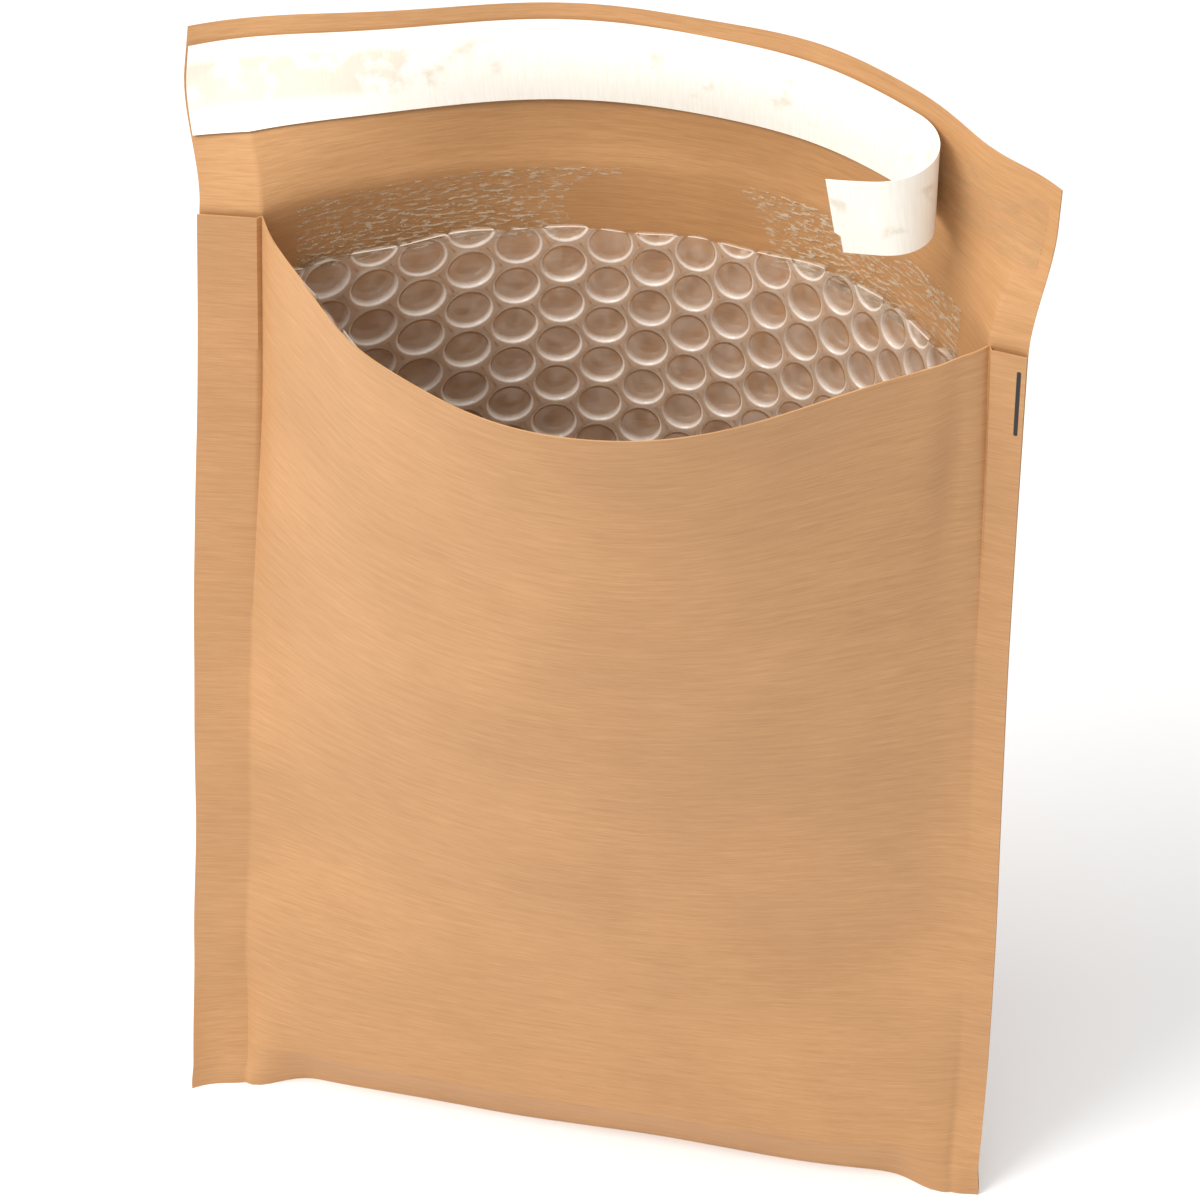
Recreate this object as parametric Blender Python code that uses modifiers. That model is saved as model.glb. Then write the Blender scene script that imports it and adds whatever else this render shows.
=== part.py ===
"""Padded mailing envelope, standing open on its folded bottom, with the flap up and its liner half peeled.

One kraft sheet is folded at the bottom and glued at both sides, a sheet of bubble film lines it, and a
strip of adhesive on the flap lies under a release liner whose right end has curled off.
Units are metres, +Z is up, the front panel faces -Y, and the origin is the bottom centre of the box.
"""

import math

import bmesh
import bpy
import numpy as np

MM = 0.001

# The kraft sheet, as cut and folded.
SHEET_WIDTH = 200 * MM
BODY_HEIGHT = 269 * MM
FLAP_LENGTH = 37 * MM
FLAP_CORNER = 4 * MM
PAPER = 0.3 * MM
LEFT_SEAM = 13 * MM
RIGHT_SEAM = 8 * MM
POCKET_WIDTH = SHEET_WIDTH - LEFT_SEAM - RIGHT_SEAM

# How far each panel bows out from the plane of the seams.
FRONT_BASE_BOW = 4.5 * MM
BACK_BASE_BOW = 15 * MM
BASE_RIDGE = 3.5 * MM
RIDGE_HEIGHT = 9 * MM
FRONT_MOUTH_BOW = 43 * MM
BACK_MOUTH_BOW = 38 * MM
FRONT_MOUTH_DROP = 6 * MM
ROUND_BY = 0.35
FRONT_SKEW = -0.14
BACK_SKEW = 0.2

# How the open mouth is twisted and pushed over, against the bottom fold.
MOUTH_TWIST = math.radians(-5.5)
MOUTH_SHIFT = 6.5 * MM
SEAM_BELLY = 8 * MM

# The flap leans back, more at its left end, and is flatter than the mouth.
FLAP_BOW = 34 * MM
FLAP_SHIFT = -2.5 * MM
FLAP_LEAN_LEFT = math.radians(25)
FLAP_LEAN_RIGHT = math.radians(9)

# The sealed side margins, which turn forward at their bottom corners.
LEFT_MARGIN_TURN = math.radians(11)
RIGHT_MARGIN_TURN = math.radians(-3)
LEFT_CORNER_TURN = 6 * MM
RIGHT_CORNER_TURN = 2.5 * MM
CORNER_TURN_HEIGHT = 45 * MM

# What lies between the layers.
GAP = 0.3 * MM
GLUE = 0.3 * MM
SEAM_HALF = PAPER + GAP + GLUE / 2

# The bubble film lining, taken as one soft sheet.
FILM = 4 * MM
FILM_INSET = PAPER + 0.8 * MM
FILM_SIDE = 2 * MM
FILM_CRUSH = 0.7
FILM_BACK_DROP = 15 * MM
FILM_FRONT_DROP = 8 * MM
FILM_THINNEST = 0.08

# The adhesive strip on the flap and the liner over it.
STRIP_FROM_EDGE = 4 * MM
STRIP_WIDTH = 15 * MM
STRIP_INSET = PAPER + 0.4 * MM
LINER = 0.2 * MM
LINER_GAP = 0.5 * MM
LINER_WIDTH = 19.5 * MM
LINER_PEEL = 161 * MM
CURL_RADIUS = 13.5 * MM
CURL_TURN = math.radians(135)
CURL_TAIL = 9 * MM

POCKET_COLUMNS = 22
BODY_LEVELS = (0, 4.5, 9, 14, 24, 42, 68, 100, 138, 178, 216, 246, 261, 269)
FLAP_LEVELS = (3, 7, 11, 14, 18.5, 23.5, 28, 33, 37)
FOLD_STEPS = 2


def smooth(value):
    value = min(max(value, 0), 1)
    return value * value * (3 - 2 * value)


def blend(start, end, share):
    return start + (end - start) * share


def half_angle(bow, length):
    """Half the angle of the arc that has this length and stands this far off its chord."""
    angle = 4 * bow / length
    for _ in range(8):
        angle -= ((1 - math.cos(angle)) / angle - 2 * bow / length) * 2
    return angle


def arc_point(share, bow, length):
    """(across, out) at a share of the arc's length, with across measured from its middle."""
    angle = half_angle(bow, length)
    radius = length / (2 * angle)
    turn = (2 * share - 1) * angle
    return radius * math.sin(turn), radius * (math.cos(turn) - math.cos(angle))


def bow_at(side, height):
    base, mouth = (FRONT_BASE_BOW, FRONT_MOUTH_BOW) if side < 0 else (BACK_BASE_BOW, BACK_MOUTH_BOW)
    ridge = BASE_RIDGE * smooth(height / RIDGE_HEIGHT)
    return base + ridge + (mouth - base - BASE_RIDGE) * height / BODY_HEIGHT


def half_chord(height):
    """Half the distance between the seams, which the two panels share."""
    return arc_point(1, (bow_at(-1, height) + bow_at(1, height)) / 2, POCKET_WIDTH)[0]


def seam_offset(height):
    rise = height / BODY_HEIGHT
    return SEAM_BELLY * rise * (1 - rise)


def set_down(across, out, height):
    """A point of the level section at this height, twisted and shifted as the mouth is."""
    rise = min(height / BODY_HEIGHT, 1)
    twist = MOUTH_TWIST * rise
    x = across * math.cos(twist) - out * math.sin(twist) + MOUTH_SHIFT * rise
    y = across * math.sin(twist) + out * math.cos(twist) + seam_offset(min(height, BODY_HEIGHT))
    return x, y


def pocket_section(side, share, height):
    """(across, out) of a panel's outer face inside the seams; side is -1 at the front and 1 at the back."""
    bow = bow_at(side, height)
    chord = half_chord(height)
    across, out = arc_point(share, bow, POCKET_WIDTH)
    across *= chord / arc_point(1, bow, POCKET_WIDTH)[0]
    roundness = smooth(height / (ROUND_BY * BODY_HEIGHT))
    span = 2 * share - 1
    boxy = bow * (1 - abs(span) ** 8)
    skew = FRONT_SKEW if side < 0 else BACK_SKEW
    out = blend(boxy, out, roundness) * (1 + skew * span * roundness)
    across = blend(chord * span, across, roundness)
    return across, side * (out + SEAM_HALF)


def margin_section(side, beyond, height):
    """The same in a sealed side margin; beyond is the signed distance outside the pocket."""
    left = beyond < 0
    turn = LEFT_MARGIN_TURN if left else RIGHT_MARGIN_TURN
    corner = LEFT_CORNER_TURN if left else RIGHT_CORNER_TURN
    width = LEFT_SEAM if left else RIGHT_SEAM
    forward = corner * smooth(1 - height / CORNER_TURN_HEIGHT) * (abs(beyond) / width) ** 1.5
    across = math.copysign(half_chord(height), beyond) + beyond * math.cos(turn)
    return across, side * SEAM_HALF + beyond * math.sin(turn) - forward


def section(side, along, height, inset=0):
    """A point of a level section; along runs from the sheet's left edge to its right edge."""
    beyond = min(along - LEFT_SEAM, 0) + max(along - LEFT_SEAM - POCKET_WIDTH, 0)
    if beyond:
        across, out = margin_section(side, beyond, height)
        return across, out - side * inset
    share = (along - LEFT_SEAM) / POCKET_WIDTH
    across, out = pocket_section(side, share, height)
    if inset:
        low = pocket_section(side, max(share - 0.01, 0), height)
        high = pocket_section(side, min(share + 0.01, 1), height)
        dx, dy = high[0] - low[0], high[1] - low[1]
        size = math.hypot(dx, dy)
        across += side * inset * dy / size
        out -= side * inset * dx / size
    return across, out


def body_point(side, along, height, inset=0):
    across, out = section(side, along, height, inset)
    drop = FRONT_MOUTH_DROP * (height / BODY_HEIGHT) ** 3 if side < 0 else 0
    inside = min(max((along - LEFT_SEAM) / POCKET_WIDTH, 0), 1)
    return *set_down(across, out, height), height - drop * 4 * inside * (1 - inside)


def flap_face(along, above):
    """A point of the flap's outer face, above the crease that it is folded on."""
    share = along / SHEET_WIDTH
    creased = section(1, along, BODY_HEIGHT)
    arched = arc_point(share, FLAP_BOW, SHEET_WIDTH)
    free = smooth(1.3 * above / FLAP_LENGTH)
    across = blend(creased[0], arched[0] + FLAP_SHIFT, free)
    out = blend(creased[1], arched[1] + SEAM_HALF, free)
    lean = blend(FLAP_LEAN_LEFT, FLAP_LEAN_RIGHT, share)
    x, y = set_down(across, out + above * math.sin(lean), BODY_HEIGHT)
    return np.array((x, y, BODY_HEIGHT + above * math.cos(lean)))


def flap_point(along, above, inset=0):
    """The same, moved in from the outer face along its normal."""
    step = 1 * MM
    low, high = max(along - step, 0), min(along + step, SHEET_WIDTH)
    sideways = flap_face(high, above) - flap_face(low, above)
    upward = flap_face(along, above + step) - flap_face(along, above - step)
    inward = np.cross(sideways, upward)
    return flap_face(along, above) + inward * inset / np.linalg.norm(inward)


def columns(start, end, count):
    return [blend(start, end, i / count) for i in range(count + 1)]


def sheet_columns():
    left = columns(0, LEFT_SEAM, 2)
    pocket = columns(LEFT_SEAM, LEFT_SEAM + POCKET_WIDTH, POCKET_COLUMNS)
    right = columns(LEFT_SEAM + POCKET_WIDTH, SHEET_WIDTH, 2)
    return left + pocket[1:-1] + right


def film_columns():
    start, end = LEFT_SEAM + FILM_SIDE, LEFT_SEAM + POCKET_WIDTH - FILM_SIDE
    inner = columns(LEFT_SEAM, LEFT_SEAM + POCKET_WIDTH, POCKET_COLUMNS)[1:-1]
    return [start, *inner, end]


def sheet_object(name, rows, point, material):
    """A grid with one row of vertices for each entry of rows, each placed by point(row, column)."""
    mesh = bpy.data.meshes.new(name)
    shape = bmesh.new()
    wide, long = len(rows[0][1]), len(rows)
    bmesh.ops.create_grid(shape, x_segments=wide - 1, y_segments=long - 1, size=0.5)
    for vertex in shape.verts:
        column = round((vertex.co.x + 0.5) * (wide - 1))
        row = round((vertex.co.y + 0.5) * (long - 1))
        station, alongs = rows[row]
        vertex.co = point(station, alongs[column])
    shape.to_mesh(mesh)
    shape.free()
    mesh.materials.append(material)
    piece = bpy.data.objects.new(name, mesh)
    parts.objects.link(piece)
    return piece


def thicken(piece, thickness, offset=-1):
    """Turns an open sheet into a solid; offset -1 grows it from the sheet towards the inside."""
    solid = piece.modifiers.new("Thickness", "SOLIDIFY")
    solid.thickness = thickness
    solid.offset = offset
    solid.use_even_offset = True
    return solid


def painted(name, colour, roughness):
    material = bpy.data.materials.new(name)
    material.use_nodes = True
    shader = material.node_tree.nodes["Principled BSDF"]
    shader.inputs["Base Color"].default_value = (*colour, 1)
    shader.inputs["Roughness"].default_value = roughness
    return material


def make_jacket():
    """One sheet: flap, back panel, bottom fold and front panel, in that order down the rows."""
    alongs = sheet_columns()
    flap = [(("flap", level * MM), alongs) for level in reversed(FLAP_LEVELS)]
    back = [(("back", level * MM), alongs) for level in reversed(BODY_LEVELS)]
    fold = [(("fold", step / FOLD_STEPS), alongs) for step in range(1, FOLD_STEPS)]
    front = [(("front", level * MM), alongs) for level in BODY_LEVELS]

    def point(station, along):
        part, value = station
        if part == "flap":
            return flap_corner(flap_face(along, value), along, value)
        if part == "fold":
            start, end = body_point(1, along, 0), body_point(-1, along, 0)
            return [blend(a, b, value) for a, b in zip(start, end)]
        return body_point(1 if part == "back" else -1, along, value)

    jacket = sheet_object("kraft_jacket", flap + back + fold + front, point, KRAFT)
    thicken(jacket, PAPER)
    return jacket


def flap_corner(point, along, above):
    """Takes the sharp point off the flap's top right corner."""
    near_side = max(0, 1 - (SHEET_WIDTH - along) / FLAP_CORNER)
    near_top = max(0, 1 - (FLAP_LENGTH - above) / FLAP_CORNER)
    cut = 0.3 * FLAP_CORNER * near_side * near_top
    return point - (cut, 0, cut)


def make_lining():
    """The bubble film, folded at the bottom as the jacket is, and crushed thin towards the seams."""
    alongs = film_columns()
    tops = {1: BODY_HEIGHT - FILM_BACK_DROP, -1: BODY_HEIGHT - FILM_FRONT_DROP}
    levels = [level * MM for level in BODY_LEVELS[2:]]
    back = [level for level in levels if level < tops[1] - 4 * MM] + [tops[1]]
    front = [level for level in levels if level < tops[-1] - 4 * MM] + [tops[-1]]
    rows = [((1, level), alongs) for level in reversed(back)]
    rows += [((side, FILM_INSET), alongs) for side in (1, 0, -1)]
    rows += [((-1, level), alongs) for level in front]

    def point(station, along):
        side, height = station
        if side:
            return body_point(side, along, height, FILM_INSET)
        ends = [body_point(end, along, height, FILM_INSET) for end in (1, -1)]
        return [(a + b) / 2 for a, b in zip(*ends)]

    lining = sheet_object("bubble_lining", rows, point, BUBBLE)
    solid = thicken(lining, FILM)
    crush = lining.vertex_groups.new(name="Plump")
    for vertex in lining.data.vertices:
        station, along = rows[vertex.index // len(alongs)][0], alongs[vertex.index % len(alongs)]
        height = station[1]
        room = abs(section(1, along, height, FILM_INSET)[1])
        crush.add([vertex.index], min(1, FILM_CRUSH * room / FILM), "REPLACE")
    solid.vertex_group = crush.name
    solid.thickness_vertex_group = FILM_THINNEST
    return lining


def make_seam_glue(name, start, end):
    """A flat band of glue between the two layers of a side margin."""
    alongs = columns(start, end, 2)
    levels = [level for level in BODY_LEVELS if 9 <= level < 265] + [265]
    rows = [(level * MM, alongs) for level in levels]

    def point(height, along):
        return body_point(1, along, height, SEAM_HALF)

    glue = sheet_object(name, rows, point, GLUE_FILM)
    thicken(glue, GLUE, offset=0)
    return glue


def make_lining_glue(name, side, low, high, start, end):
    """The bead along the lining's top edge that bonds it to a panel."""
    steps = [along for along in sheet_columns() if start < along < end]
    alongs = [start, *steps, end]
    rows = [(height, alongs) for height in ((low, high) if side < 0 else (high, low))]

    def point(height, along):
        return body_point(side, along, height, PAPER + GAP)

    bead = sheet_object(name, rows, point, GLUE_FILM)
    thicken(bead, GLUE)
    return bead


def make_adhesive():
    """The sticky strip, right across the flap below its top edge."""
    inner = [along for along in sheet_columns() if 1 * MM < along < SHEET_WIDTH - 5 * MM]
    alongs = [1 * MM, *inner, SHEET_WIDTH - 3 * MM]
    top = FLAP_LENGTH - STRIP_FROM_EDGE - 1 * MM
    rows = [(top - STRIP_WIDTH * step / 2, alongs) for step in range(3)]

    def point(above, along):
        return flap_point(along, above, STRIP_INSET)

    strip = sheet_object("flap_adhesive", rows, point, ADHESIVE)
    thicken(strip, GLUE / 2)
    return strip


def curl_path():
    """(forward, sideways, turn) at each step of the curl, from where the liner leaves the flap."""
    steps = 14
    bent = CURL_RADIUS * CURL_TURN
    path = []
    for step in range(1, steps + 1):
        turn = CURL_TURN * step / steps
        path.append((bent * step / steps, CURL_RADIUS * math.sin(turn), CURL_RADIUS * (1 - math.cos(turn))))
    for step in range(1, 3):
        reach = CURL_TAIL * step / 2
        side, front = path[steps - 1][1], path[steps - 1][2]
        path.append((bent + reach, side + reach * math.cos(CURL_TURN), front + reach * math.sin(CURL_TURN)))
    return path


def make_liner():
    """The liner: flat on the adhesive, then curled forward and back over itself at its right end."""
    inset = STRIP_INSET + GLUE / 2 + LINER_GAP
    stuck = [along for along in sheet_columns() if 0.5 * MM < along < LINER_PEEL - 3 * MM]
    alongs = [0.5 * MM, *stuck, LINER_PEEL]
    curl = curl_path()
    top = FLAP_LENGTH - STRIP_FROM_EDGE
    heights = [top - LINER_WIDTH * step / 2 for step in range(3)]
    rows = [(above, alongs + [LINER_PEEL + step[0] for step in curl]) for above in heights]

    def point(above, along):
        if along <= LINER_PEEL:
            return flap_point(along, above, inset)
        base = flap_point(LINER_PEEL, above, inset)
        onward = base - flap_point(LINER_PEEL - 2 * MM, above, inset)
        onward /= np.linalg.norm(onward)
        upward = flap_point(LINER_PEEL, heights[0], inset) - flap_point(LINER_PEEL, heights[-1], inset)
        forward = np.cross(onward, upward)
        forward /= np.linalg.norm(forward)
        _, side, front = min(curl, key=lambda step: abs(step[0] - (along - LINER_PEEL)))
        return base + onward * side + forward * front

    liner = sheet_object("release_liner", rows, point, LINER_FILM)
    thicken(liner, LINER)
    return liner


def stand_on_origin(pieces):
    """Moves every piece so that the origin is the bottom centre of the whole envelope."""
    bpy.context.view_layer.update()
    graph = bpy.context.evaluated_depsgraph_get()
    corners = []
    for piece in pieces:
        evaluated = piece.evaluated_get(graph)
        corners += [tuple(vertex.co) for vertex in evaluated.data.vertices]
    corners = np.array(corners)
    low, high = corners.min(axis=0), corners.max(axis=0)
    for piece in pieces:
        piece.location = (-(low[0] + high[0]) / 2, -(low[1] + high[1]) / 2, -low[2])


for old in list(bpy.data.objects):
    bpy.data.objects.remove(old, do_unlink=True)

parts = bpy.data.collections.new("Padded envelope")
bpy.context.scene.collection.children.link(parts)

KRAFT = painted("Kraft paper", (0.52, 0.29, 0.13), 0.62)
BUBBLE = painted("Bubble film", (0.78, 0.72, 0.66), 0.25)
GLUE_FILM = painted("Hot melt glue", (0.72, 0.62, 0.48), 0.3)
ADHESIVE = painted("Flap adhesive", (0.7, 0.56, 0.38), 0.25)
LINER_FILM = painted("Release liner", (0.92, 0.9, 0.84), 0.35)

film_top = {1: BODY_HEIGHT - FILM_BACK_DROP, -1: BODY_HEIGHT - FILM_FRONT_DROP}
pieces = [
    make_jacket(),
    make_lining(),
    make_seam_glue("left_seam_glue", 1 * MM, LEFT_SEAM - 1 * MM),
    make_seam_glue("right_seam_glue", SHEET_WIDTH - RIGHT_SEAM + 1 * MM, SHEET_WIDTH - 1 * MM),
    make_lining_glue("back_lining_glue", 1, film_top[1] + 1 * MM, BODY_HEIGHT - 5 * MM, 24 * MM, 180 * MM),
    make_lining_glue("front_lining_glue", -1, film_top[-1] + 1 * MM, BODY_HEIGHT - 2 * MM, 24 * MM, 180 * MM),
    make_adhesive(),
    make_liner(),
]
stand_on_origin(pieces)
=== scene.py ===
"""The looks of the padded envelope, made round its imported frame.

One kraft sheet makes the back panel, the flap, the bottom fold and the front panel. Every piece is laid on
that sheet: a place is how far along the sheet it is from the left edge, how high up the body or the flap it
is, and how deep it lies inside the outer face. Metres throughout, and the front panel faces -Y.
"""

import math

import bmesh
import bpy
import numpy as np
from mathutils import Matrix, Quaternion, Vector, noise


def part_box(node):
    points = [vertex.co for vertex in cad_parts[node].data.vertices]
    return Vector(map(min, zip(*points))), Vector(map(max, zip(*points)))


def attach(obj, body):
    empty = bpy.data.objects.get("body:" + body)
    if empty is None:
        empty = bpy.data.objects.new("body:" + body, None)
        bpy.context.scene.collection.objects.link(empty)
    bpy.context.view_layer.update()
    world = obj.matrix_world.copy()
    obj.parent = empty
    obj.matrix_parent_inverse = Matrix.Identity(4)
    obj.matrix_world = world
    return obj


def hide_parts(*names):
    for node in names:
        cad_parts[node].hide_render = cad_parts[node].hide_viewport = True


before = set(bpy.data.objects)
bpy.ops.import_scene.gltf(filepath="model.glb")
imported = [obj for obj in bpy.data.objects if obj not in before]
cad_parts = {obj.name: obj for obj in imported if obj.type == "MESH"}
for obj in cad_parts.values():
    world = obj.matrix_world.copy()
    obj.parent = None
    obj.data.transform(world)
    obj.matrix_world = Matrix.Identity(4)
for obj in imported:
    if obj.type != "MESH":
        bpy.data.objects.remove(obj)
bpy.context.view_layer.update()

MM = 0.001

# ---- The sheet, as it was cut and folded ----

SHEET_WIDTH = 200 * MM
BODY_HEIGHT = 269 * MM
FLAP_LENGTH = 37 * MM
PAPER = 0.3 * MM
LEFT_SEAM = 13 * MM
RIGHT_SEAM = 8 * MM
POCKET_WIDTH = SHEET_WIDTH - LEFT_SEAM - RIGHT_SEAM
RIGHT_SEAM_AT = LEFT_SEAM + POCKET_WIDTH
FOLD_DEPTH = 20 * MM

# How the panels bow, and how the open mouth is twisted over the bottom fold.
FRONT_BASE_BOW = 4.5 * MM
BACK_BASE_BOW = 15 * MM
BASE_RIDGE = 3.5 * MM
RIDGE_HEIGHT = 9 * MM
CREASE_HEIGHT = 13.5 * MM
CREASE_OUT = 2.4 * MM
FRONT_MOUTH_BOW = 43 * MM
BACK_MOUTH_BOW = 38 * MM
FRONT_MOUTH_DROP = 6 * MM
ROUND_BY = 0.35
FRONT_SKEW = -0.14
BACK_SKEW = 0.2
MOUTH_TWIST = math.radians(-5.5)
MOUTH_SHIFT = 6.5 * MM
SEAM_BELLY = 8 * MM
SEAM_HALF = 0.75 * MM

# The flap, which leans back.
FLAP_BOW = 34 * MM
FLAP_SHIFT = -2.5 * MM
FLAP_LEAN_LEFT = math.radians(25)
FLAP_LEAN_RIGHT = math.radians(9)
FLAP_CORNER = 4 * MM

# The sealed margins, which turn forward at their bottom corners.
LEFT_MARGIN_TURN = math.radians(11)
RIGHT_MARGIN_TURN = math.radians(-3)
LEFT_CORNER_TURN = 6 * MM
RIGHT_CORNER_TURN = 2.5 * MM
CORNER_TURN_HEIGHT = 45 * MM

# ---- The bubble film ----

FILM_START = LEFT_SEAM + 2 * MM
FILM_END = RIGHT_SEAM_AT - 2 * MM
FILM_BACK_TOP = BODY_HEIGHT - 15 * MM
FILM_FRONT_TOP = BODY_HEIGHT - 8 * MM
FILM_TURN_HEIGHT = 7 * MM
FILM_OUTSIDE = PAPER + 0.35 * MM
FILM_DEEP = 3.6 * MM
BUBBLE_PITCH = 10.7 * MM
BUBBLE_COLUMN = 9.6 * MM
BUBBLE_RIM = 4.6 * MM
BUBBLE_TOP_ROW = 251.3 * MM

# ---- The strip of adhesive and its liner ----

STRIP_FROM_EDGE = 4 * MM
LINER_WIDTH = 18 * MM
LINER_PEEL = 161 * MM
LINER_PAPER = 0.14 * MM
CURL_RADIUS = 13.5 * MM
CURL_TURN = math.radians(135)
CURL_TAIL = 9 * MM
CURL_SAG = 3 * MM
DRY_BAND_SHORT = 1.1 * MM
FREE_END_DOWN = np.array((0.16, 0.02, -0.987))


# ---- Where a place on the sheet is ----


def smooth(value):
    value = np.clip(value, 0, 1)
    return value * value * (3 - 2 * value)


def blend(start, end, share):
    return start + (end - start) * share


def bump(value, middle, width):
    """A smooth hump of height 1 at the middle, which falls to nothing over the width."""
    return np.exp(-(((value - middle) / width) ** 2))


def arc_point(share, bow, length):
    """(across, out) at a share of the length of an arc that stands this far off its chord."""
    angle = 4 * bow / length
    for _ in range(8):
        angle = angle - ((1 - np.cos(angle)) / angle - 2 * bow / length) * 2
    radius = length / (2 * angle)
    turn = (2 * share - 1) * angle
    return radius * np.sin(turn), radius * (np.cos(turn) - np.cos(angle))


def bow_at(side, height):
    base, mouth = (FRONT_BASE_BOW, FRONT_MOUTH_BOW) if side < 0 else (BACK_BASE_BOW, BACK_MOUTH_BOW)
    ridge = BASE_RIDGE * smooth(height / RIDGE_HEIGHT)
    return base + ridge + (mouth - base - BASE_RIDGE) * height / BODY_HEIGHT


def half_chord(height):
    return arc_point(1, (bow_at(-1, height) + bow_at(1, height)) / 2, POCKET_WIDTH)[0]


def set_down(across, out, height):
    rise = np.clip(height / BODY_HEIGHT, 0, 1)
    twist = MOUTH_TWIST * rise
    x = across * np.cos(twist) - out * np.sin(twist) + MOUTH_SHIFT * rise
    y = across * np.sin(twist) + out * np.cos(twist) + SEAM_BELLY * rise * (1 - rise)
    return x, y


def pocket_section(side, share, height):
    bow = bow_at(side, height)
    chord = half_chord(height)
    across, out = arc_point(share, bow, POCKET_WIDTH)
    across = across * chord / arc_point(1, bow, POCKET_WIDTH)[0]
    roundness = smooth(height / (ROUND_BY * BODY_HEIGHT))
    span = 2 * share - 1
    boxy = bow * (1 - np.abs(span) ** 8)
    skew = FRONT_SKEW if side < 0 else BACK_SKEW
    out = blend(boxy, out, roundness) * (1 + skew * span * roundness)
    out = out + hand_made(side, share, height)
    return blend(chord * span, across, roundness), side * (out + SEAM_HALF)


def hand_made(side, share, height):
    """How far the paper really stands off the plain form: its soft folds and the shape of the mouth."""
    rise = height / BODY_HEIGHT
    if side > 0:
        return 0.8 * MM * bump(share, 0.3, 0.12) * smooth(rise * 2 - 1) * np.sin(9 * rise)
    near_mouth = smooth(rise * 2.6 - 1.6)
    shape = -5.0 * MM * bump(share, 0.13, 0.1) - 2.2 * MM * bump(share, 0.3, 0.1)
    shape = shape - 7.0 * MM * bump(share, 0.82, 0.14)
    soft_fold = -1.6 * MM * bump(share, 0.95, 0.02) * bump(rise, 0.9, 0.09)
    return near_mouth * shape + soft_fold + foot_swell(share, height)


def foot_swell(share, height):
    """The front's crisp lower edge: it slopes out from the fold to a ridge, then eases back above it."""
    rise = height / BODY_HEIGHT
    span = np.abs(2 * share - 1)
    plain = BASE_RIDGE * smooth(height / RIDGE_HEIGHT)
    crisp = CREASE_OUT * np.clip(height / CREASE_HEIGHT, 0, 1)
    eased = 1 - np.exp(-np.maximum(height - CREASE_HEIGHT, 0) / (32 * MM))
    return (crisp - plain - 6.5 * MM * eased * (1 - smooth(1.15 * rise))) * (1 - span**8)


def foot_shift(side, along, height):
    """How far forward the bottom fold runs of the plain form: it is nearly straight from corner to corner."""
    left = 4.4 * MM * bump(along, LEFT_SEAM, 9 * MM)
    right = 6 * MM * bump(along, RIGHT_SEAM_AT, 9 * MM)
    inside = np.clip((along - LEFT_SEAM) / POCKET_WIDTH, 0, 1)
    middle = 3.9 * MM * smooth(10 * inside) * smooth(12 * (1 - inside)) * (1 - 0.75 * inside)
    return bump(height, 0, 20 * MM) * (left + right - (middle if side < 0 else 0))


def margin_section(side, beyond, height):
    left = beyond < 0
    turn = np.where(left, LEFT_MARGIN_TURN, RIGHT_MARGIN_TURN)
    corner = np.where(left, LEFT_CORNER_TURN, RIGHT_CORNER_TURN)
    width = np.where(left, LEFT_SEAM, RIGHT_SEAM)
    forward = corner * smooth(1 - height / CORNER_TURN_HEIGHT) * (np.abs(beyond) / width) ** 1.5
    across = np.sign(beyond) * half_chord(height) + beyond * np.cos(turn)
    return across, side * SEAM_HALF + beyond * np.sin(turn) - forward


def drawn_aside(side, along, height):
    """How the edges and the pillow's sides really run, against straight ones."""
    rise = np.clip(height / BODY_HEIGHT, 0, 1)
    share = along / SHEET_WIDTH
    left = -1.3 * MM * bump(rise, 0.15, 0.13) + 0.95 * MM * bump(rise, 0.84, 0.17)
    right = 2.6 * MM * rise**5 - 0.9 * MM * bump(rise, 0.6, 0.28)
    aside = left * (1 - smooth(share)) + right * smooth(share)
    if side < 0:
        aside = aside + 1.1 * MM * bump(along, LEFT_SEAM, 5 * MM) * bump(rise, 0.75, 0.2)
        aside = aside + 1.3 * MM * bump(along, RIGHT_SEAM_AT, 4 * MM) * (1 - rise**4)
    return aside


def section(side, along, height):
    """(across, out) on the outer face of the front (-1) or back (1) layer."""
    beyond = np.minimum(along - LEFT_SEAM, 0) + np.maximum(along - RIGHT_SEAM_AT, 0)
    share = np.clip((along - LEFT_SEAM) / POCKET_WIDTH, 0, 1)
    inside = pocket_section(side, share, height)
    outside = margin_section(side, beyond, height)
    across, out = (np.where(beyond == 0, a, b) for a, b in zip(inside, outside))
    return across + drawn_aside(side, along, height), out


def body_face(side, along, height):
    across, out = section(side, along, height)
    drop = FRONT_MOUTH_DROP * (height / BODY_HEIGHT) ** 3 if side < 0 else 0
    inside = np.clip((along - LEFT_SEAM) / POCKET_WIDTH, 0, 1)
    x, y = set_down(across, out - foot_shift(side, along, height), height)
    return np.stack((x, y, height - drop * 4 * inside * (1 - inside)), axis=-1)


def flap_face(along, above):
    share = along / SHEET_WIDTH
    creased = section(1, along, np.full_like(along, BODY_HEIGHT))
    arched = arc_point(share, FLAP_BOW, SHEET_WIDTH)
    free = smooth(1.3 * above / FLAP_LENGTH)
    across = blend(creased[0], arched[0] + FLAP_SHIFT, free)
    flat = -6.2 * MM * bump(share, 0.21, 0.16) + 1.8 * MM * bump(share, 0.68, 0.1) - 3.0 * MM * bump(share, 0.9, 0.06)
    flat = flat - 2 * MM * bump(share, 0.37, 0.22)
    out = blend(creased[1], arched[1] + SEAM_HALF + flat, free)
    lean = blend(FLAP_LEAN_LEFT, FLAP_LEAN_RIGHT, share)
    x, y = set_down(across, out + above * np.sin(lean), np.full_like(along, BODY_HEIGHT))
    return np.stack((x, y, BODY_HEIGHT + above * np.cos(lean)), axis=-1)


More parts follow.
